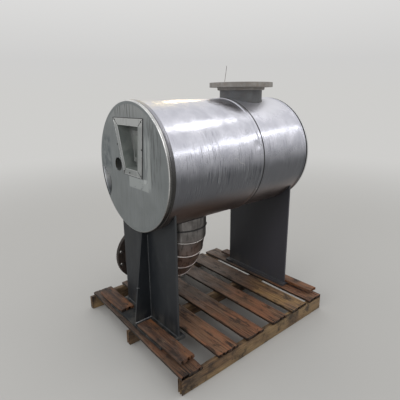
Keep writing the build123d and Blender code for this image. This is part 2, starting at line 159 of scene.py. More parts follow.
# Shader helpers
class Shader:
    """One material's node tree, with short names for the nodes it uses."""

    def __init__(self, name):
        self.mat = bpy.data.materials.new(name)
        self.mat.use_nodes = True
        self.tree = self.mat.node_tree
        self.tree.nodes.clear()
        self.out = self.tree.nodes.new("ShaderNodeOutputMaterial")
        self.bsdf = self.tree.nodes.new("ShaderNodeBsdfPrincipled")
        self.tree.links.new(self.bsdf.outputs[0], self.out.inputs[0])

    def put(self, socket, value):
        if isinstance(value, bpy.types.NodeSocket):
            self.tree.links.new(value, socket)
        elif isinstance(value, (tuple, list, Vector)) and socket.type == "RGBA" and len(value) == 3:
            socket.default_value = (*value, 1)
        else:
            socket.default_value = value

    def set(self, **values):
        for name, value in values.items():
            self.put(self.bsdf.inputs[name.replace("_", " ")], value)

    def coords(self):
        return self.tree.nodes.new("ShaderNodeTexCoord").outputs["Object"]

    def origin(self):
        """Where the object's own origin is."""
        return self.tree.nodes.new("ShaderNodeObjectInfo").outputs["Location"]

    def upward(self):
        """How far a face looks up: 1 on top, 0 on a side, -1 underneath."""
        facing = self.tree.nodes.new("ShaderNodeNewGeometry")
        return self.split(facing.outputs["True Normal"])[2]

    def split(self, vector):
        node = self.tree.nodes.new("ShaderNodeSeparateXYZ")
        self.put(node.inputs[0], vector)
        return tuple(node.outputs)

    def join(self, x, y, z):
        node = self.tree.nodes.new("ShaderNodeCombineXYZ")
        for socket, value in zip(node.inputs, (x, y, z)):
            self.put(socket, value)
        return node.outputs[0]

    def math(self, kind, a, b=None, clamp=False):
        node = self.tree.nodes.new("ShaderNodeMath")
        node.operation = kind
        node.use_clamp = clamp
        for socket, value in zip(node.inputs, (a, b)):
            if value is not None:
                self.put(socket, value)
        return node.outputs[0]

    def times(self, a, b, clamp=False):
        return self.math("MULTIPLY", a, b, clamp)

    def plus(self, a, b, clamp=False):
        return self.math("ADD", a, b, clamp)

    def minus(self, a, b):
        return self.math("SUBTRACT", a, b)

    def vector_math(self, kind, a, b=None):
        node = self.tree.nodes.new("ShaderNodeVectorMath")
        node.operation = kind
        self.put(node.inputs[0], a)
        if b is not None:
            self.put(node.inputs[1], b)
        return node.outputs

    def scale(self, vector, x, y, z):
        return self.vector_math("MULTIPLY", vector, (x, y, z))[0]

    def noise(self, vector, scale=1.0, detail=3.0, rough=0.5, warp=0.0):
        node = self.tree.nodes.new("ShaderNodeTexNoise")
        self.put(node.inputs["Vector"], vector)
        node.inputs["Scale"].default_value = scale
        node.inputs["Detail"].default_value = detail
        node.inputs["Roughness"].default_value = rough
        node.inputs["Distortion"].default_value = warp
        return node.outputs[0]

    def ease(self, value, low, high, to_low=0.0, to_high=1.0):
        """Smooth step from to_low at low to to_high at high."""
        node = self.tree.nodes.new("ShaderNodeMapRange")
        node.interpolation_type = "SMOOTHSTEP"
        for socket, given in zip(node.inputs, (value, low, high, to_low, to_high)):
            self.put(socket, given)
        return node.outputs[0]

    def band(self, value, low, high, soft):
        """1 between low and high, falling to 0 over the soft distance on each side."""
        return self.times(self.ease(value, low - soft, low), self.ease(value, high + soft, high))

    def mix(self, factor, a, b):
        node = self.tree.nodes.new("ShaderNodeMix")
        node.data_type = "RGBA"
        self.put(node.inputs[0], factor)
        self.put(node.inputs[6], a)
        self.put(node.inputs[7], b)
        return node.outputs[2]

    def bump(self, height, depth, strength=1.0, normal=None):
        node = self.tree.nodes.new("ShaderNodeBump")
        node.inputs["Strength"].default_value = strength
        node.inputs["Distance"].default_value = depth
        self.put(node.inputs["Height"], height)
        if normal is not None:
            self.put(node.inputs["Normal"], normal)
        return node.outputs[0]

    def spot(self, place, radius, soft=0.5):
        """1 round a frame point out to the soft share of the radius, falling to 0 at the radius."""
        distance = self.vector_math("DISTANCE", self.coords(), place)["Value"]
        return self.ease(distance, radius * soft, radius, 1.0, 0.0)

    def from_axis(self):
        """How far a place is from the vessel's axis, in metres."""
        y, z = self.split(self.coords())[1:]
        height = self.minus(z, AXIS_Z / 1000)
        return self.math("SQRT", self.plus(self.times(y, y), self.times(height, height)))

    def wrapped(self):
        """Along the vessel, round it and up from its axis, in metres."""
        x, y, z = self.split(self.coords())
        height = self.minus(z, AXIS_Z / 1000)
        angle = self.math("ARCTAN2", y, height)
        return x, self.times(angle, JACKET_R / 1000), height


# Cladding
def cladding_tones(s, height, cloud):
    """Bright mill finish above; below the widest part, painted shade and a painted dark reflection of the
    floor, and under it all a painted brown reflection of the pallet.
    """
    level = s.plus(height, s.times(s.minus(cloud, 0.5), 0.05))
    # painted shade and dark floor reflection below the widest part, and a painted brown pallet reflection
    # lower still
    painted_dark_reflection = s.ease(level, 0.115, -0.045)
    under = s.ease(level, -0.12, -0.27)
    base = s.mix(s.ease(cloud, 0.30, 0.72), (0.585, 0.590, 0.660), (0.71, 0.712, 0.785))
    base = s.mix(painted_dark_reflection, base, (0.168, 0.173, 0.190))
    return painted_dark_reflection, s.mix(under, base, (0.32, 0.262, 0.245))


def cladding_streaks(s, base, flat, x, arc, streaks, fine):
    """Streaks that run round the shell on its sides, mostly before the seam, and grit all over."""
    from_top = s.math("ABSOLUTE", arc)
    where = s.noise(s.scale(flat, 5.0, 6.0, 1), 1.0, 3.0, 0.55)
    grit = s.noise(s.scale(flat, 140, 90, 1), 1.0, 4.0, 0.7)
    side = s.band(from_top, 0.40, 0.66, 0.07)
    before_seam = s.band(x, station(190), station(640), 0.16)
    patchy = s.times(s.ease(where, 0.34, 0.62), s.plus(before_seam, 0.35))
    streaked = s.times(side, patchy)
    drawn = s.times(s.ease(streaks, 0.53, 0.62), streaked, clamp=True)
    base = s.mix(s.times(drawn, 0.66), base, (0.070, 0.075, 0.090))
    pale = s.times(s.ease(streaks, 0.46, 0.34), streaked, clamp=True)
    base = s.mix(s.times(pale, 0.30), base, (0.62, 0.63, 0.66))
    on_top = s.ease(from_top, 0.72, 0.60)
    hairlines = s.times(s.ease(fine, 0.60, 0.80, 0.0, 0.30), on_top)
    base = s.mix(hairlines, base, (0.24, 0.245, 0.26))
    return drawn, s.mix(s.ease(grit, 0.66, 0.82, 0.0, 0.45), base, (0.20, 0.20, 0.21))


def cladding_marks(s, base, x, height, cloud):
    """Painted warm glints on the crown near the front, painted shade in the swage's groove, and painted
    shadow behind both laps.
    """
    # painted reflection: warm glints on the crown near the front
    warm = s.times(s.ease(height, 0.30, 0.345), s.ease(x, station(560), station(60)))
    base = s.mix(s.times(warm, s.ease(cloud, 0.35, 0.6)), base, (0.80, 0.75, 0.65))
    # painted shade in the swage's groove, strongest low down
    swage = s.band(x, station(18), station(36), 0.004)
    stronger_low_down = s.ease(height, 0.33, 0.05, 0.35, 0.88)
    base = s.mix(s.times(swage, stronger_low_down), base, (0.050, 0.048, 0.044))
    # painted shadow at the seam's lap and at the rear lap
    lap = s.band(x, station(SEAM), station(SEAM + 9), 0.003)
    base = s.mix(s.times(lap, 0.92), base, (0.02, 0.02, 0.022))
    rear = s.band(x, station(REAR_LAP - 5), station(REAR_LAP + 5), 0.003)
    return s.mix(s.times(rear, 0.75), base, (0.04, 0.04, 0.042))


def cladding_bumps(s, flat, height, streaks):
    """Broad swells, ripples that are strongest on the crown, and one dent beside the seam."""
    swell = s.noise(s.scale(flat, 4.5, 3.4, 1), 1.0, 2.0, 0.5)
    ripple = s.noise(s.scale(flat, 17, 26, 1), 1.0, 2.0, 0.5)
    crown = s.ease(height, 0.24, 0.345)
    bent = s.bump(swell, 0.0058, 0.9)
    bent = s.bump(s.times(ripple, s.plus(crown, 0.18)), 0.0026, 0.9, bent)
    bent = s.bump(streaks, 0.00010, 0.5, bent)
    dent = s.spot(on_near_side(632, 16, JACKET_R), 0.034, 0.1)
    return s.bump(dent, -0.0028, 1.0, bent)


def cladding_material():
    s = Shader("cladding")
    x, arc, height = s.wrapped()
    flat = s.join(x, arc, 0.0)
    cloud = s.noise(s.scale(flat, 9, 9, 1), 1.0, 5.0, 0.6, 0.4)
    streaks = s.noise(s.scale(flat, 165, 7.5, 1), 1.0, 4.0, 0.62)
    fine = s.noise(s.scale(flat, 520, 7, 1), 1.0, 3.0, 0.6)
    painted_dark_reflection, base = cladding_tones(s, height, cloud)
    drawn, base = cladding_streaks(s, base, flat, x, arc, streaks, fine)
    base = cladding_marks(s, base, x, height, cloud)
    # painted light round the nozzle: the sheet is painted paler there to lift the nozzle's shadow and dark
    # reflection, and made hazier
    haze_and_painted_light = s.spot(at(NOZZLE_X, 0, JACKET_R), 0.34, 0.45)
    base = s.mix(s.times(haze_and_painted_light, 0.6), base, (0.84, 0.84, 0.88))
    rough = s.plus(s.ease(cloud, 0.25, 0.75, 0.16, 0.26), s.times(painted_dark_reflection, 0.14))
    rough = s.plus(rough, s.times(drawn, 0.15))
    rough = s.plus(rough, s.ease(fine, 0.4, 0.7, 0.0, 0.05))
    rough = s.plus(rough, s.times(haze_and_painted_light, 0.22))
    bent = cladding_bumps(s, flat, height, streaks)
    s.set(Base_Color=base, Metallic=1.0, Roughness=rough, Normal=bent)
    return s.mat


# Covers and window
def rim_material():
    """The front cover's rolled rim, bright round its corner, with painted shade behind it and a painted dark
    reflection on its lower half.
    """
    s = Shader("rim")
    x, arc, height = s.wrapped()
    flat = s.join(x, arc, height)
    wear = s.noise(s.scale(flat, 14, 14, 14), 1.0, 5.0, 0.6)
    waves = s.noise(s.scale(flat, 30, 30, 30))
    base = s.mix(s.ease(wear, 0.35, 0.7), (0.60, 0.60, 0.60), (0.80, 0.80, 0.79))
    # painted shade behind the rim's corner, strongest low down
    painted_shade_behind_lip = s.times(s.ease(height, 0.27, 0.02), s.ease(x, station(2), station(4.5)))
    base = s.mix(s.times(painted_shade_behind_lip, 0.92), base, (0.055, 0.053, 0.050))
    # painted dark reflection on the rim's lower half
    base = s.mix(s.ease(height, 0.02, -0.16, 0.0, 0.72), base, (0.14, 0.14, 0.135))
    # the flat flange inside the corner is the dull cover sheet
    flange = s.times(s.ease(s.from_axis(), 0.3535, 0.3505), s.ease(x, station(4), station(2)))
    base = s.mix(flange, base, (0.225, 0.243, 0.247))
    metal = s.minus(1.0, s.times(flange, 0.25))
    rough = s.plus(s.ease(wear, 0.3, 0.7, 0.24, 0.38), s.times(flange, 0.18))
    s.set(Base_Color=base, Metallic=metal, Roughness=rough, Normal=s.bump(waves, 0.0010, 0.8))
    return s.mat


def front_marks(s, base, y, z, runs, blots):
    """Pale patches beside the window and under it, and a darker patch by the notch."""
    pale_patch = s.times(s.band(y, -0.190, -0.150, 0.012), s.band(z, 1.00, 1.22, 0.05))
    pale_patch = s.times(pale_patch, s.ease(runs, 0.42, 0.52))
    under = s.times(s.band(y, -0.165, 0.02, 0.012), s.band(z, 0.970, 1.02, 0.008))
    under = s.times(under, s.ease(blots, 0.36, 0.42))
    pale = s.plus(s.times(pale_patch, 0.85), s.times(under, 0.90), clamp=True)
    base = s.mix(pale, base, (0.385, 0.408, 0.408))
    corner = s.times(s.band(y, -0.162, -0.128, 0.004), s.band(z, 1.008, 1.026, 0.004))
    corner = s.times(corner, s.ease(blots, 0.36, 0.50, 0.1, 0.8))
    base = s.mix(corner, base, (0.50, 0.52, 0.52))
    dark_patch = s.times(s.band(y, 0.235, 0.34, 0.03), s.band(z, 1.06, 1.20, 0.04))
    return s.mix(s.times(dark_patch, s.ease(blots, 0.40, 0.58)), base, (0.135, 0.155, 0.165))


def cover_material(name, front):
    """Dull weathered sheet with vertical runs; the rear cover is the same, with a bright lip."""
    s = Shader(name)
    y, z = s.split(s.coords())[1:]
    face = s.join(y, z, 0.0)
    cloud = s.noise(s.scale(face, 4, 4, 1), 1.0, 5.0, 0.6, 0.3)
    runs = s.noise(s.scale(face, 75, 6, 1), 1.0, 4.0, 0.6)
    fine_runs = s.noise(s.scale(face, 260, 14, 1), 1.0, 3.0, 0.6)
    blots = s.noise(s.scale(face, 26, 13, 1), 1.0, 5.0, 0.66, 0.3)
    grit = s.noise(s.scale(face, 90, 90, 1), 1.0, 4.0, 0.7)
    base = s.mix(s.ease(cloud, 0.3, 0.7), (0.205, 0.222, 0.226), (0.262, 0.280, 0.284))
    base = s.mix(s.ease(z, 1.26, 1.40, 0.0, 0.75), base, (0.335, 0.345, 0.345))
    # dark runs, thickest beside the window and above it
    beside = s.band(y, -0.27, -0.19, 0.035)
    above = s.times(s.band(y, -0.02, 0.12, 0.05), s.ease(z, 1.31, 1.36))
    smear = s.times(s.plus(beside, above), s.band(z, 1.04, 1.42, 0.06), clamp=True)
    dark_runs = s.times(s.ease(runs, 0.46, 0.62), s.plus(smear, 0.22), clamp=True)
    base = s.mix(s.times(dark_runs, 0.75), base, (0.115, 0.125, 0.126))
    base = s.mix(s.ease(fine_runs, 0.62, 0.80, 0.0, 0.35), base, (0.15, 0.16, 0.16))
    base = s.mix(s.ease(blots, 0.62, 0.75, 0.0, 0.4), base, (0.33, 0.35, 0.35))
    base = s.mix(s.ease(grit, 0.64, 0.80, 0.0, 0.3), base, (0.36, 0.37, 0.36))
    if front:
        base = front_marks(s, base, y, z, runs, blots)
        s.set(Metallic=0.75, Roughness=s.ease(cloud, 0.3, 0.7, 0.42, 0.56))
    else:
        base = s.mix(s.ease(s.from_axis(), 0.3515, 0.3535), base, (0.60, 0.605, 0.61))
        s.set(Metallic=0.9, Roughness=s.ease(cloud, 0.3, 0.7, 0.36, 0.50))
    waves = s.noise(s.scale(face, 5, 5, 1), 1.0, 2.0)
    s.set(Base_Color=base, Normal=s.bump(waves, 0.004, 0.7))
    return s.mat


def trim_material():
    """The window's folded frame, lighter along its upper strip than at the sides."""
    s = Shader("trim")
    place = s.coords()
    z = s.split(place)[2]
    cloud = s.noise(place, 12.0, 5.0, 0.6, 0.3)
    runs = s.noise(s.scale(place, 1, 120, 9), 1.0, 3.0, 0.6)
    base = s.mix(s.ease(cloud, 0.3, 0.7), (0.27, 0.285, 0.282), (0.37, 0.385, 0.382))
    base = s.mix(s.ease(z, 1.285, 1.305, 0.0, 0.8), base, (0.50, 0.51, 0.505))
    base = s.mix(s.ease(runs, 0.56, 0.72, 0.0, 0.5), base, (0.17, 0.18, 0.18))
    rough = s.ease(cloud, 0.3, 0.7, 0.36, 0.50)
    s.set(Base_Color=base, Metallic=0.8, Roughness=rough, Normal=s.bump(cloud, 0.0018, 0.6))
    return s.mat


def notch_material():
    """The rolled sheet seen through the rim's notch, painted near white as a highlight above, with painted
    shade below.
    """
    s = Shader("notch_sheet")
    place = s.coords()
    z = s.split(place)[2]
    cloud = s.noise(place, 24.0, 4.0, 0.6, 0.3)
    base = s.mix(s.ease(cloud, 0.3, 0.7), (0.70, 0.74, 0.79), (0.92, 0.94, 0.96))
    # painted shade on the sheet's lower part
    painted_shade_below = s.ease(s.plus(z, s.times(cloud, 0.02)), 0.985, 0.90)
    base = s.mix(painted_shade_below, base, (0.16, 0.175, 0.19))
    s.set(Base_Color=base, Metallic=0.25, Roughness=0.34, Normal=s.bump(cloud, 0.0012, 0.6))
    return s.mat


# Lagging, paint, steel and plain sheet
def lagging_material():
    """Mill sheet in short lengths, streaked down its height, browner toward the outlet."""
    s = Shader("lagging_sheet")
    place = s.coords()
    z = s.split(place)[2]
    runs = s.noise(s.scale(place, 75, 75, 5), 1.0, 4.0, 0.6)
    cloud = s.noise(place, 11.0, 5.0, 0.6, 0.3)
    base = s.mix(s.ease(cloud, 0.3, 0.7), (0.13, 0.122, 0.118), (0.245, 0.232, 0.224))
    base = s.mix(s.times(s.ease(z, 0.66, 0.44), 0.9), base, (0.50, 0.41, 0.385))
    base = s.mix(s.ease(runs, 0.50, 0.66, 0.0, 0.75), base, (0.085, 0.08, 0.078))
    base = s.mix(s.ease(runs, 0.40, 0.30, 0.0, 0.45), base, (0.55, 0.53, 0.52))
    rough = s.ease(cloud, 0.3, 0.7, 0.30, 0.44)
    s.set(Base_Color=base, Metallic=1.0, Roughness=rough, Normal=s.bump(cloud, 0.0020, 0.7))
    return s.mat


def paint_material():
    """The saddles' dark paint, with dust, worn edges with painted highlights, scuffs, and painted light and
    shade.
    """
    s = Shader("saddle_paint")
    place = s.coords()
    x, y, z = s.split(place)
    cloud = s.noise(place, 3.5, 5.0, 0.6, 0.2)
    grit = s.noise(place, 160.0, 3.0, 0.6)
    peel = s.noise(place, 420.0, 2.0, 0.5)
    scuffs = s.noise(s.scale(place, 60, 60, 9), 1.0, 4.0, 0.6)
    dust = s.noise(s.scale(place, 14, 14, 5), 1.0, 5.0, 0.65, 0.3)
    base = s.mix(s.ease(cloud, 0.3, 0.7), (0.0130, 0.0155, 0.0190), (0.0215, 0.0250, 0.0300))
    base = s.mix(s.ease(dust, 0.50, 0.74, 0.0, 0.45), base, (0.060, 0.064, 0.068))
    # the webs' cut end faces are painted lighter, as worn paint and as a painted highlight
    edge = s.ease(s.math("ABSOLUTE", y), 0.2780, 0.2795)
    base = s.mix(s.times(edge, 0.5), base, (0.095, 0.100, 0.105))
    # painted light on the rear saddle and painted shade on the front one
    base = s.mix(s.ease(x, station(700), station(980), 0.0, 0.55), base, (0.038, 0.038, 0.042))
    base = s.mix(s.ease(x, station(300), station(120), 0.0, 0.30), base, (0.008, 0.009, 0.010))
    # painted light fans out over the rear plate's open half
    painted_light_fan = s.ease(s.plus(s.times(y, -1.0), s.times(z, -0.55)), -0.36, 0.02)
    painted_light_fan = s.times(painted_light_fan, s.ease(x, station(900), station(1000)))
    base = s.mix(s.times(painted_light_fan, 0.8), base, (0.078, 0.078, 0.092))
    # dirt low down, then scuffs and grit all over
    stronger_low_down = s.times(s.ease(z, 0.22, 0.125), s.ease(dust, 0.40, 0.62, 0.0, 0.6))
    base = s.mix(stronger_low_down, base, (0.085, 0.080, 0.072))
    base = s.mix(s.ease(scuffs, 0.68, 0.82, 0.0, 0.5), base, (0.11, 0.115, 0.12))
    base = s.mix(s.ease(grit, 0.68, 0.82, 0.0, 0.3), base, (0.14, 0.14, 0.14))
    s.set(Base_Color=base, Roughness=s.ease(cloud, 0.3, 0.7, 0.36, 0.50),
          Normal=s.bump(peel, 0.0002, 0.5), Specular_IOR_Level=0.26)
    return s.mat


def rusty_material(name, dark, light, rust, amount, rough, dust_and_painted_top_light=False):
    """Steel eaten by rust in spots; when asked, its upper faces are painted pale, as dust lying there and as
    painted light from above.
    """
    s = Shader(name)
    place = s.coords()
    cloud = s.noise(place, 9.0, 6.0, 0.65, 0.4)
    spots = s.noise(place, 45.0, 5.0, 0.7, 0.2)
    grain = s.noise(place, 160.0, 4.0, 0.65)
    base = s.mix(s.ease(cloud, 0.3, 0.7), dark, light)
    eaten = s.times(s.ease(spots, 0.42, 0.66), s.ease(cloud, 0.35, 0.65, amount * 0.5, amount))
    base = s.mix(eaten, base, rust)
    base = s.mix(s.ease(grain, 0.60, 0.78, 0.0, 0.4), base, tuple(min(1.0, c * 1.9) for c in light))
    if dust_and_painted_top_light:
        # pale dust and painted light from above on the upper faces
        base = s.mix(s.ease(s.upward(), 0.5, 0.9, 0.0, 0.92), base, (0.62, 0.60, 0.575))
    s.set(Base_Color=base, Metallic=0.15, Roughness=rough, Normal=s.bump(spots, 0.0008, 0.7))
    return s.mat


def plain_sheet(name, dark, light, rough, metal=1.0, size=10.0):
    """Clouded surface between two colours; the size says how many clouds a metre holds."""
    s = Shader(name)
    place = s.coords()
    cloud = s.noise(place, size, 5.0, 0.6, 0.3)
    grit = s.noise(place, size * 12, 3.0, 0.6)
    base = s.mix(s.ease(cloud, 0.3, 0.7), dark, light)
    base = s.mix(s.ease(grit, 0.58, 0.78, 0.0, 0.3), base, tuple(c * 0.6 for c in dark))
    uneven = s.ease(cloud, 0.3, 0.7, rough - 0.08, rough + 0.08)
    s.set(Base_Color=base, Metallic=metal, Roughness=uneven, Normal=s.bump(cloud, 0.0015, 0.6))
    return s.mat


# Timber
def wood_grain(s, place):
    """Wavering place in the grain, which differs from board to board."""
    wobble = s.noise(s.scale(place, 3, 10, 10), 1.0, 3.0, 0.5)
    x, y, z = s.split(place)
    wavy = s.join(x, s.plus(y, s.times(wobble, 0.035)), z)
    return s.vector_math("ADD", wavy, s.scale(s.origin(), 3.7, 2.9, 2.0))[0]


def deck_tones(s, base, grain, x, rings, patch, dark, golden, grey):
    """Painted shade in grey under the vessel, painted light in orange and gold toward the open ends."""
    board_x = s.split(s.origin())[0]
    warm = s.noise(s.scale(grain, 6, 11, 5), 1.0, 3.0, 0.5)
    tint = s.mix(s.band(board_x, 0.32, 0.40, 0.12), (0.290, 0.122, 0.060), golden)
    tint = s.mix(s.ease(warm, 0.42, 0.60, 0.0, 0.75), tint, (0.215, 0.125, 0.072))
    # painted light: warmer orange and gold toward the boards' open ends
    painted_light_toward_end = s.ease(s.plus(x, s.times(s.minus(patch, 0.5), 0.9)), 0.02, -0.30)
    base = s.mix(s.times(painted_light_toward_end, s.ease(rings, 0.30, 0.58, 0.20, 0.85)), base, tint)
    # painted shade: greyer under the vessel
    painted_shade_under_vessel = s.ease(x, -0.22, 0.10)
    base = s.mix(s.times(painted_shade_under_vessel, s.ease(patch, 0.36, 0.60, 0.35, 0.85)), base, grey)
    return s.mix(s.ease(board_x, -0.46, -0.54, 0.0, 0.55), base, dark)


def deck_ends(s, base, grain, x):
    """Split ends, and painted shade that makes the boards' sawn sides and ends near black."""
    split_lines = s.ease(s.noise(s.scale(grain, 5, 120, 1), 1.0, 2.0, 0.5), 0.54, 0.62)
    near_end = s.ease(s.math("ABSOLUTE", x), 0.40, 0.50)
    base = s.mix(s.times(split_lines, near_end), base, (0.008, 0.005, 0.004))
    # painted shade: the boards' sides and ends, along the gaps between them, are painted near black
    level = s.math("ABSOLUTE", s.upward())
    return s.mix(s.ease(level, 0.6, 0.3, 0.0, 0.82), base, (0.014, 0.009, 0.006))


def wood_material(name, dark, light, golden, grey, deck=False):
    """Stained softwood whose grain runs along x; a deck board's place picks its tint."""
    s = Shader(name)
    place = s.coords()
    x = s.split(place)[0]
    grain = wood_grain(s, place)
    rings = s.noise(s.scale(grain, 2.2, 95, 60), 1.0, 5.0, 0.62, 0.2)
    fibre = s.noise(s.scale(grain, 14, 420, 300), 1.0, 3.0, 0.6)
    blotch = s.noise(s.scale(grain, 5, 16, 9), 1.0, 5.0, 0.6, 0.4)
    dark_patch = s.noise(s.scale(grain, 9, 24, 9), 1.0, 5.0, 0.65)
    patch = s.noise(s.scale(grain, 2.6, 7, 5), 1.0, 3.0, 0.5)
    specks = s.noise(s.scale(grain, 90, 150, 90), 1.0, 3.0, 0.6)
    base = s.mix(s.ease(rings, 0.34, 0.66), dark, light)
    if deck:
        base = deck_tones(s, base, grain, x, rings, patch, dark, golden, grey)
    else:
        base = s.mix(s.ease(patch, 0.45, 0.65, 0.0, 0.85), base, golden)
        base = s.mix(s.ease(blotch, 0.48, 0.72, 0.0, 0.75), base, grey)
    base = s.mix(s.ease(dark_patch, 0.50, 0.66, 0.0, 0.88), base, (0.014, 0.008, 0.006))
    base = s.mix(s.ease(fibre, 0.48, 0.72, 0.0, 0.60), base, (0.020, 0.011, 0.007))
    base = s.mix(s.ease(fibre, 0.40, 0.28, 0.0, 0.35), base, (0.50, 0.33, 0.18))
    base = s.mix(s.ease(specks, 0.66, 0.74, 0.0, 0.8), base, (0.010, 0.007, 0.005))
    if deck:
        base = deck_ends(s, base, grain, x)
    relief = s.plus(s.times(rings, 0.6), fibre)
    rough = s.ease(blotch, 0.3, 0.7, 0.52, 0.82)
    s.set(Base_Color=base, Roughness=rough, Normal=s.bump(relief, 0.0022, 0.9))
    return s.mat


materials = {
    "cladding": cladding_material(),
    "rim": rim_material(),
    "cover_sheet": cover_material("cover_sheet", front=True),
    "rear_sheet": cover_material("rear_sheet", front=False),
    "trim": trim_material(),
    "liner_sheet": plain_sheet("liner_sheet", (0.22, 0.245, 0.235), (0.34, 0.365, 0.350), 0.46, 0.5),
    "notch_sheet": notch_material(),
    "lagging_sheet": lagging_material(),
    # the elbow's beads are painted far paler than the lagging sheet, as painted highlights
    "bead": plain_sheet("bead", (0.72, 0.70, 0.68), (0.88, 0.86, 0.84), 0.24),
    # dark bars of painted shadow at laps, beads, the collar and round the trim, and dark joints at the
    # trim's mitres
    "painted_shadow_and_joint": plain_sheet("painted_shadow_and_joint", (0.020, 0.020, 0.021), (0.035, 0.035, 0.036), 0.6, 0.0, 40.0),
    "dark_screw": plain_sheet("dark_screw", (0.045, 0.046, 0.046), (0.10, 0.10, 0.10), 0.4, 0.6, 60.0),
    "screw": plain_sheet("screw", (0.30, 0.30, 0.29), (0.46, 0.46, 0.45), 0.34, 1.0, 60.0),
    "weld": plain_sheet("weld", (0.035, 0.040, 0.045), (0.095, 0.10, 0.105), 0.5, 0.1, 90.0),
    # the trim's folded edges, painted paler as painted highlights
    "trim_edge_highlight": plain_sheet("trim_edge_highlight", (0.52, 0.53, 0.53), (0.68, 0.69, 0.69), 0.34, 0.8, 40.0),
    "bare_weld": plain_sheet("bare_weld", (0.24, 0.25, 0.26), (0.46, 0.47, 0.48), 0.5, 0.3, 90.0),
    "scrape": plain_sheet("scrape", (0.50, 0.50, 0.49), (0.66, 0.66, 0.65), 0.5, 0.1, 90.0),
    "nail": plain_sheet("nail", (0.05, 0.035, 0.028), (0.11, 0.08, 0.06), 0.55, 0.6, 90.0),
    "saddle_paint": paint_material(),
    "vessel_steel": rusty_material("vessel_steel", (0.150, 0.160, 0.158), (0.225, 0.236, 0.230),
                                   (0.10, 0.065, 0.045), 0.3, 0.6),
    "nozzle_steel": rusty_material("nozzle_steel", (0.085, 0.090, 0.096), (0.135, 0.141, 0.147),
                                   (0.10, 0.06, 0.04), 0.3, 0.55),
    "flange_steel": rusty_material("flange_steel", (0.20, 0.19, 0.178), (0.33, 0.315, 0.295),
                                   (0.17, 0.112, 0.078), 0.45, 0.6, dust_and_painted_top_light=True),
    # the bottom flange: a darker copy of the flange steel with more rust, its darkness painted shade
    "painted_shade_flange_steel": rusty_material("painted_shade_flange_steel", (0.020, 0.016, 0.014),
                                          (0.042, 0.032, 0.027), (0.060, 0.032, 0.02), 0.6, 0.7),
    "plate_pack_steel": plain_sheet("plate_pack_steel", (0.35, 0.35, 0.35), (0.5, 0.5, 0.5), 0.35),
    "wool": plain_sheet("wool", (0.30, 0.25, 0.13), (0.42, 0.36, 0.20), 0.95, 0.0, 60.0),
    "plate_blank": plain_sheet("plate_blank", (0.22, 0.235, 0.225), (0.31, 0.325, 0.315), 0.38),
    "wire": rusty_material("wire", (0.10, 0.09, 0.085), (0.16, 0.14, 0.13), (0.12, 0.06, 0.03), 0.6, 0.6),
    "pallet_timber": wood_material("pallet_timber", (0.034, 0.016, 0.009), (0.205, 0.100, 0.050),
                                   (0.36, 0.215, 0.085), (0.122, 0.092, 0.074), deck=True),
    "stringer_timber": wood_material("stringer_timber", (0.050, 0.027, 0.014), (0.205, 0.120, 0.058),
                                     (0.300, 0.200, 0.095), (0.115, 0.082, 0.055)),
    "hold_down_timber": wood_material("hold_down_timber", (0.026, 0.012, 0.008), (0.130, 0.062, 0.034),
                                      (0.260, 0.105, 0.040), (0.100, 0.066, 0.050)),
}

# Nodes that look different from the rest of their slot
OWN_LOOK = {
    "front_cover_rim": "rim",
    "rear_cover": "rear_sheet",
    "window_trim": "trim",
    "bottom_flange": "painted_shade_flange_steel",
}
slot_of = {entry["node"]: entry["material_slot"] for entry in frame["record"]["subparts"]}
for name, obj in nodes.items():
    for place in obj.material_slots:
        place.link = "OBJECT"
        place.material = materials[OWN_LOOK.get(name, slot_of[name])]


# Mesh helpers
def add_piece(name, bm, material, smooth=True):
    bmesh.ops.recalc_face_normals(bm, faces=bm.faces)
    mesh = bpy.data.meshes.new(name)
    bm.to_mesh(mesh)
    bm.free()
    for face in mesh.polygons:
        face.use_smooth = smooth
    obj = bpy.data.objects.new(name, mesh)
    scene.collection.objects.link(obj)
    mesh.materials.append(materials[material])
    return obj


def add_detail(name, bm, material):
    """Small smooth piece that is modelled in its place."""
    obj = add_piece(name, bm, material)
    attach(obj, "root")


def spokes(side, other, count):
    """Unit vectors round a circle in the plane of two given ones."""
    turns = [2 * math.pi * j / count for j in range(count)]
    return [math.cos(turn) * side + math.sin(turn) * other for turn in turns]


def bridge(bm, one, two):
    """Band of faces between two closed rings of vertices."""
    count = len(one)
    for j in range(count):
        bm.faces.new([one[j], one[(j + 1) % count], two[(j + 1) % count], two[j]])


def tube(bm, points, radius, sides=8, closed=False, wobble=0.0, seed=0.0):
    """Round bar along frame points; the wobble is the share by which its radius may stray."""
    skew = Vector((0.31, 0.52, 0.79))
    rings = []
    count = len(points)
    for k, point in enumerate(points):
        ahead = points[(k + 1) % count] if closed or k + 1 < count else point
        behind = points[k - 1] if closed or k else point
        along = (ahead - behind).normalized()
        side = along.cross(skew).normalized()
        ring = []
        for j, spoke in enumerate(spokes(side, along.cross(side), sides)):
            reach = radius * (1 + wobble * noise.noise(point * 240 + Vector((seed, j * 0.3, 0))))
            ring.append(bm.verts.new(point + reach * spoke))
        rings.append(ring)
    for one, two in zip(rings, rings[1:]):
        bridge(bm, one, two)
    if closed:
        bridge(bm, rings[-1], rings[0])
    else:
        bm.faces.new(rings[0][::-1])
        bm.faces.new(rings[-1])


def dome(bm, place, facing, radius, height, sides=14, rows=4):
    """Low round head that stands on a face."""
    out = facing.normalized()
    side = out.orthogonal().normalized()
    around = spokes(side, out.cross(side), sides)
    rings = []
    for i in range(rows):
        bend = i / rows * math.pi / 2
        centre = place + out * height * math.sin(bend)
        rings.append([bm.verts.new(centre + radius * math.cos(bend) * spoke) for spoke in around])
    for one, two in zip(rings, rings[1:]):
        bridge(bm, one, two)
    tip = bm.verts.new(place + out * height)
    for j in range(sides):
        bm.faces.new([rings[-1][j], rings[-1][(j + 1) % sides], tip])
    bm.faces.new(rings[0][::-1])


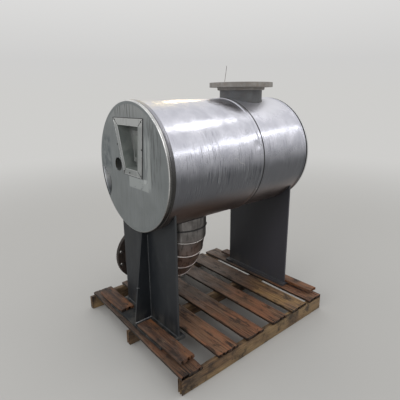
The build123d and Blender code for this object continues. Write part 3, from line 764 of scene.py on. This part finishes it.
def skin_slab(bm, grid, rows, columns):
    """Faces of a thin slab whose vertices are kept by row, column and side."""
    for i in range(rows):
        for j in range(columns):
            bm.faces.new([grid[i, j, 1], grid[i + 1, j, 1], grid[i + 1, j + 1, 1], grid[i, j + 1, 1]])
            bm.faces.new([grid[i, j, 0], grid[i, j + 1, 0], grid[i + 1, j + 1, 0], grid[i + 1, j, 0]])
        for j in (0, columns):
            bm.faces.new([grid[i, j, 0], grid[i + 1, j, 0], grid[i + 1, j, 1], grid[i, j, 1]])
    for i in (0, rows):
        for j in range(columns):
            bm.faces.new([grid[i, j, 0], grid[i, j + 1, 0], grid[i, j + 1, 1], grid[i, j, 1]])


def line(start, end, steps=10, wander=0.0):
    """Frame points from one place to another, both in vessel millimetres."""
    points = []
    for k in range(steps + 1):
        here = Vector(start).lerp(Vector(end), k / steps)
        drift = Vector([noise.noise(here * rate) for rate in (0.07, 0.09, 0.08)]) * wander
        points.append(at(*(here + drift)))
    return points


def shell_ring(x, radius, wander=0.0, steps=144):
    """Frame points round the vessel at one station."""
    points = []
    for k in range(steps):
        angle = math.radians(360.0 * k / steps)
        drift = wander * noise.noise(Vector((3 * math.cos(angle), 3 * math.sin(angle), x)))
        points.append(round_vessel(x + drift, angle, radius))
    return points


def lagging_ring(degrees, radius, lift=0.0, steps=96):
    """Frame points round the elbow, at an angle along its bend."""
    bend = math.radians(degrees)
    sunk = ELBOW_Z - ELBOW_R * math.sin(bend) + lift
    centre = Vector((ELBOW_X, ELBOW_R * (1 - math.cos(bend)), sunk))
    inward = Vector((0, math.cos(bend), math.sin(bend)))
    return [at(*(centre + radius * spoke)) for spoke in spokes(Vector((1, 0, 0)), inward, steps)]


# Boards
def end_losses(rnd, columns, splits, rough_end):
    """How far splits and a ragged cut reach into each end, column by column."""
    split = [[0.0] * (columns + 1) for _ in range(2)]
    for end, count in enumerate((2 * splits, splits)):
        for _ in range(count):
            column = rnd.randint(1, columns - 1)
            split[end][column] = rnd.uniform(0.010, 0.045)
    ragged = [[rnd.random() * rough_end for _ in range(columns + 1)] for _ in range(2)]
    return split, ragged


def end_shift(i, j, rows, split, ragged):
    """How far a grid point moves along the board: fully at an end, a quarter one row in."""
    shifts = {
        0: ragged[0][j] + split[0][j],
        1: 0.25 * split[0][j],
        rows - 1: -0.25 * split[1][j],
        rows: -(ragged[1][j] + split[1][j]),
    }
    return shifts.get(i, 0.0)


def worn(x, y, z, across, at_edge, offset):
    """Grid point with its arris worn off and its edge wandering, lower where the top is uneven."""
    if at_edge:
        wander = noise.noise(Vector((x * 5, 0.0, across)) + offset)
        y -= 0.0022 * (1 + wander) * (2 * across - 1)
        z -= math.copysign(0.0016, z)
    if z > 0:
        z -= 0.0010 * (1 + noise.noise(Vector((x * 9, y * 30, 0)) + offset))
        z -= 0.0012 * max(0.0, noise.noise(Vector((x * 3, y * 60, 2)) + offset))
    return x, y, z


def plank(name, centre, length, width, thick, seed, material="pallet_timber",
          heading=90.0, rough_end=0.006, columns=22, rows=46, splits=3, crowded=True):
    """Sawn board, in metres; crowded ones have more rows near their ends, where the splits are."""
    split, ragged = end_losses(random.Random(seed), columns, splits, rough_end)
    offset = Vector((seed * 3.7, seed * 1.3, 0.0))
    bm = bmesh.new()
    grid = {}
    for i in range(rows + 1):
        along = i / rows
        if crowded:
            along = 0.5 - 0.5 * math.cos(math.pi * along)
        for j in range(columns + 1):
            across = j / columns
            for side in range(2):
                x, y, z = worn((along - 0.5) * length, (across - 0.5) * width, (side - 0.5) * thick,
                               across, j in (0, columns), offset)
                x += end_shift(i, j, rows, split, ragged)
                grid[i, j, side] = bm.verts.new((x, y, z))
    skin_slab(bm, grid, rows, columns)
    obj = add_piece(name, bm, material, smooth=False)
    turn = Matrix.Rotation(math.radians(heading), 4, "Z")
    obj.matrix_world = Matrix.Translation(centre) @ turn
    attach(obj, "root")
    return obj


# Pallet
def deck_places():
    """Each deck board's front edge and width, from the pallet's front backward."""
    places = []
    edge = PALLET_FRONT + FIRST_BOARD_INSET
    for width, gap in DECK_BOARDS:
        places.append((edge, width))
        edge += width + gap
    return places


def add_deck():
    for index, (edge, width) in enumerate(deck_places()):
        centre = at(edge + width / 2, 0, DECK_TOP - BOARD / 2)
        heading = 90.0 + FIRST_BOARD_SKEW if index == 0 else 90.0
        board = plank(f"deck_board_{index + 1}", centre, PALLET_WIDTH / 1000 - 0.002, width / 1000,
                      BOARD / 1000, 11 + index, heading=heading)
        if index == 0:
            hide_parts("pallet_deck_boards")


def add_stringers():
    for side, (y, seed) in STRINGERS.items():
        centre = at(PALLET_FRONT + PALLET_LENGTH / 2, y, FLOOR_Z + STRINGER_HEIGHT / 2)
        beam = plank(f"stringer_{side}", centre, PALLET_LENGTH / 1000 - 0.001, STRINGER_WIDTH / 1000,
                     STRINGER_HEIGHT / 1000, seed, "stringer_timber", heading=0.0, rough_end=0.003,
                     columns=6, rows=30, splits=1, crowded=False)
        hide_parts(f"pallet_stringer_{side}")


def add_hold_downs():
    for seed, (name, (x0, x1, y0, y1)) in enumerate(HOLD_DOWNS.items(), 51):
        centre = at((x0 + x1) / 2, (y0 + y1) / 2, BASE_TOP + BOARD / 2)
        board = plank(name + "_board", centre, (y1 - y0) / 1000, (x1 - x0) / 1000, BOARD / 1000, seed,
                      "hold_down_timber", rough_end=0.004, columns=14, rows=24,
                      splits=2)
        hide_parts(name)


def add_nails():
    up = Vector((0, 0, 1))
    bm = bmesh.new()
    for index, (edge, width) in enumerate(deck_places()):
        for y in (-512.0, 0.0, 512.0):
            for share in (0.22, 0.76):
                stray = noise.noise(Vector((index * 3.1, y, share * 9))) * 9
                place = at(edge + width * share + stray, y + stray * 0.5, DECK_TOP - NAIL_SUNK)
                dome(bm, place, up, 0.0042, 0.0022, 10, 3)
    for x0, x1, y0, y1 in HOLD_DOWNS.values():
        for share in (0.12, 0.88):
            for across in (0.3, 0.7):
                place = at(x0 + (x1 - x0) * across, y0 + (y1 - y0) * share, BASE_TOP + BOARD - NAIL_SUNK)
                dome(bm, place, up, 0.0045, 0.0024, 10, 3)
    add_detail("pallet_nails", bm, "nail")


# Cladding's laps and scratch
def add_bar(name, points, radius, material, sides=8, closed=True, wobble=0.0):
    bm = bmesh.new()
    tube(bm, points, radius, sides, closed, wobble)
    add_detail(name, bm, material)


def add_lap_shadows():
    # dark rings of painted shadow at the seam, at the rear lap and behind the front rim
    add_bar("seam_shadow_gap", shell_ring(SEAM + 2.0, 355.2, 0.8), 0.0023, "painted_shadow_and_joint")
    add_bar("rear_lap_gap", shell_ring(REAR_LAP, 355.6), 0.0016, "painted_shadow_and_joint")
    add_bar("front_lap_gap", shell_ring(FRONT_LAP, 354.6), 0.0022, "painted_shadow_and_joint")


def add_shell_scratch(steps=10):
    """A thin scratch on the near side that runs forward and a little up."""
    points = []
    for k in range(steps + 1):
        share = k / steps
        points.append(on_near_side(514 - 76 * share, 8 * share + 0.8 * math.sin(k), JACKET_R + 0.2))
    add_bar("shell_scratch", points, 0.0009, "scrape", 6, False)


# Elbow's beads, with painted highlights, and painted shadow at its laps and under its collar
def gore_rings(bm, turned, proud, radii):
    """A bar at each gore's start, turned a little along the bend and proud of the lagging."""
    for k, radius in enumerate(radii):
        ring = lagging_ring(GORE_FIRST + GORE_STEP * k + turned, LAGGING_R + proud)
        tube(bm, ring, radius, closed=True)


def add_lagging_details():
    bm = bmesh.new()
    # bright beads: painted highlights along each gore's start
    gore_rings(bm, 1.2, 2.9, [0.0023] * 2 + [0.0015] * (GORE_COUNT - 2))
    add_detail("lagging_beads", bm, "bead")
    bm = bmesh.new()
    # painted shadow lines at the gores' laps
    gore_rings(bm, -0.3, 0.3, [0.0018] * GORE_COUNT)
    add_detail("lagging_lap_gaps", bm, "painted_shadow_and_joint")
    # painted shadow under the collar's end
    collar_end = lagging_ring(0.0, LAGGING_R + 1.6, lift=-26.0)
    add_bar("lagging_sealant", collar_end, 0.0044, "painted_shadow_and_joint", wobble=0.5)


# Screws of the front cover and of the cladding's laps
def add_screws():
    bm = bmesh.new()
    for y, z in COVER_SCREWS:
        dome(bm, at(-1.5, y, z), Vector((-1, 0, 0)), 0.0052, 0.0024)
    add_detail("cover_screws", bm, "dark_screw")
    bm = bmesh.new()
    for x in (SEAM - 13, REAR_LAP - 10):
        for degrees in range(-118, 147, 44):
            angle = math.radians(degrees)
            out = Vector((0, math.sin(angle), math.cos(angle)))
            dome(bm, at(x, 355.9 * out.y, 355.9 * out.z), out, 0.0040, 0.0022, 12, 3)
    add_detail("lap_screws", bm, "screw")


# Window trim and notch
def trim_line(bm, start, end, proud, radius, steps, wander, wobble=0.0, seed=0.0):
    """A bar along the trim from one y and z to another, standing proud of the cover."""
    points = line((-proud, *start), (-proud, *end), steps, wander)
    tube(bm, points, radius, wobble=wobble, seed=seed)


def trim_sides():
    return list(zip(OUTER_CORNERS, OUTER_CORNERS[1:] + OUTER_CORNERS[:1]))


def notch_edge(steps=40):
    """Frame points along the notch's rim, as far as the cover's flat face goes."""
    points = []
    for k in range(steps + 1):
        angle = math.radians(150 + 122 * k / steps)
        y = NOTCH_Y + (NOTCH_R + 1.0) * math.cos(angle)
        z = NOTCH_Z + (NOTCH_R + 1.0) * math.sin(angle)
        if math.hypot(y, z) < 350.0:
            points.append(at(-0.2, y, z))
    return points


def add_trim_shadow_and_joints():
    """Painted shadow line round the trim, dark joints at its mitred corners, and the notch's dark edge."""
    bm = bmesh.new()
    for k, (start, end) in enumerate(trim_sides()):
        # painted shadow line round the trim, thickest on its -y side
        radius = (0.0021, 0.0030, 0.0016, 0.0022)[k]
        trim_line(bm, start, end, 0.6, radius, 16, 0.5, wobble=0.3, seed=k)
    for start, end in zip(OUTER_CORNERS, INNER_CORNERS):
        trim_line(bm, start, end, 1.2, 0.0014, 8, 0.3)
    tube(bm, notch_edge(), 0.0012)
    add_detail("window_trim_joint", bm, "painted_shadow_and_joint")


def add_trim_folds():
    """Painted highlights along the folded edges, a little inside the trim's outer sides and on three inner
    ones.
    """
    bm = bmesh.new()
    for (start, end), share in zip(trim_sides(), (0.985, 0.955, 0.985, 0.985)):
        near = [[v * share + (1 - share) * middle for v, middle in zip(corner, WINDOW_MIDDLE)]
                for corner in (start, end)]
        trim_line(bm, *near, 1.4, 0.0011, 16, 0.4)
    for k in (0, 2, 3):
        trim_line(bm, INNER_CORNERS[k], INNER_CORNERS[(k + 1) % 4], 1.4, 0.0010, 12, 0.3)
    add_detail("window_trim_folds", bm, "trim_edge_highlight")


def add_notch_sleeve(steps=40):
    """Rolled sheet, 2 mm thick, that shows through the notch in the rim."""
    stations = (3.0, 8.0, 16.0, 28.0, 44.0, 62.0)
    bm = bmesh.new()
    grid = {}
    for i in range(steps + 1):
        angle = math.radians(93 + 36 * i / steps)
        for j, x in enumerate(stations):
            for side, radius in enumerate((343.0, 345.0)):
                grid[i, j, side] = bm.verts.new(round_vessel(x, angle, radius))
    skin_slab(bm, grid, steps, len(stations) - 1)
    add_detail("notch_sleeve", bm, "notch_sheet")


# Saddles' welds
def web_faces(proud):
    """Stations a little proud of both faces of both webs."""
    return [face + side * proud for web in (FRONT_WEB, REAR_WEB) for face, side in zip(web, (-1, 1))]


def add_saddle_welds():
    """Beads along both feet of both webs, and up the ribs' corners on the webs' outer faces."""
    end = WEB_HALF_WIDTH - 1
    bm = bmesh.new()
    for k, x in enumerate(web_faces(0.8)):
        foot = line((x, -end, WELD_Z), (x, end, WELD_Z), 90, 1.6)
        tube(bm, foot, 0.0038, wobble=0.5, seed=k)
    front_face, *_, rear_face = web_faces(0.6)
    corners = [(x, y) for x in (front_face, rear_face) for y in (RIB_FACE + 1, -RIB_FACE - 1)]
    for k, (x, y) in enumerate(corners):
        upright = line((x, y, WELD_Z), (x, y, RIB_WELD_TOP), 70, 1.2)
        tube(bm, upright, 0.0030, wobble=0.5, seed=9 + k)
    add_detail("saddle_welds", bm, "weld")


def add_bare_welds():
    """Bright bead along the front rib's foot, and a scratch on the rib."""
    bm = bmesh.new()
    foot = line((-36, -RIB_FACE - 1.2, WELD_Z), (74, -RIB_FACE - 1.2, WELD_Z), 40, 1.6)
    tube(bm, foot, 0.0036, wobble=0.6, seed=5)
    scratch = line((-14.0, -RIB_FACE - 0.4, -716.0), (2.0, -RIB_FACE - 0.4, -722.0), 8, 1.0)
    tube(bm, scratch, 0.0020, 6)
    add_detail("front_rib_bare_welds", bm, "bare_weld")


add_deck()
add_stringers()
add_hold_downs()
add_lap_shadows()
add_lagging_details()
add_screws()
add_trim_shadow_and_joints()
add_trim_folds()
add_notch_sleeve()
add_shell_scratch()
add_saddle_welds()
add_bare_welds()
add_nails()


# Stage and light
def floor_material():
    """Pale floor that fades into the backdrop's own colour far from the part."""
    s = Shader("stage_floor")
    distance = s.vector_math("LENGTH", s.coords())["Value"]
    glow = s.tree.nodes.new("ShaderNodeEmission")
    glow.inputs[0].default_value = (*BACKDROP, 1)
    blend = s.tree.nodes.new("ShaderNodeMixShader")
    s.put(blend.inputs[0], s.ease(distance, 2.2, 7.5))
    s.put(blend.inputs[1], s.bsdf.outputs[0])
    s.put(blend.inputs[2], glow.outputs[0])
    s.put(s.out.inputs[0], blend.outputs[0])
    s.set(Base_Color=(0.50, 0.495, 0.48), Roughness=0.75)
    return s.mat


def add_floor():
    floor = bpy.data.objects.new("floor", bpy.data.meshes.new("floor"))
    bm = bmesh.new()
    bmesh.ops.create_circle(bm, cap_ends=True, segments=96, radius=30)
    bm.to_mesh(floor.data)
    bm.free()
    floor.location.z = -0.001
    scene.collection.objects.link(floor)
    floor.data.materials.append(floor_material())


def add_world():
    """Soft studio world: the backdrop's colour at the horizon, brightest half way up."""
    world = bpy.data.worlds.new("studio")
    scene.world = world
    world.use_nodes = True
    tree = world.node_tree
    tree.nodes.clear()
    output = tree.nodes.new("ShaderNodeOutputWorld")
    background = tree.nodes.new("ShaderNodeBackground")
    place = tree.nodes.new("ShaderNodeTexCoord")
    split = tree.nodes.new("ShaderNodeSeparateXYZ")
    ramp = tree.nodes.new("ShaderNodeValToRGB")
    tree.links.new(place.outputs["Generated"], split.inputs[0])
    tree.links.new(split.outputs[2], ramp.inputs[0])
    tree.links.new(ramp.outputs[0], background.inputs[0])
    tree.links.new(background.outputs[0], output.inputs[0])
    stops = ramp.color_ramp.elements
    stops[0].position = 0.0
    stops[0].color = (*BACKDROP, 1)
    stops[1].position = 1.0
    stops[1].color = (0.78, 0.79, 0.80, 1)
    for height, bright in ((0.08, 0.62), (0.25, 0.74), (0.50, 0.95), (0.80, 0.86)):
        stops.new(height).color = (bright, bright * 0.995, bright * 0.985, 1)
    background.inputs[1].default_value = 1.0


def lamp(name, place, target, size, power, colour=(1, 1, 1), size_y=None, along=(0, 0, 1)):
    """Area lamp facing the target, its second side laid toward the given direction."""
    data = bpy.data.lights.new(name, "AREA")
    data.shape = "RECTANGLE"
    data.size = size
    data.size_y = size_y or size
    data.energy = power
    data.color = colour
    obj = bpy.data.objects.new(name, data)
    back = (Vector(place) - Vector(target)).normalized()
    across = Vector(along).cross(back).normalized()
    axes = Matrix((across, back.cross(across), back)).transposed().to_4x4()
    obj.matrix_world = Matrix.Translation(place) @ axes
    scene.collection.objects.link(obj)


add_floor()
add_world()
lamp("window_short", (2.6, -1.2, 4.65), (0.2, 0.0, 1.2), 0.5, 6, (1, 0.99, 0.97), 0.8, (0.6, 0.8, 0))
lamp("window_long", (3.15, -3.0, 3.0), (0.1, -0.3, 1.2), 0.24, 6.5, (0.97, 0.98, 1.0), 2.7, (1.5, 1.6, 0.55))
lamp("warm", (2.4, 3.0, 3.0), (0.0, 0.0, 1.2), 0.5, 4, (1, 0.78, 0.50))
lamp("front_left", (-4.2, -0.6, 3.0), (0.0, 0.0, 0.9), 1.8, 34)
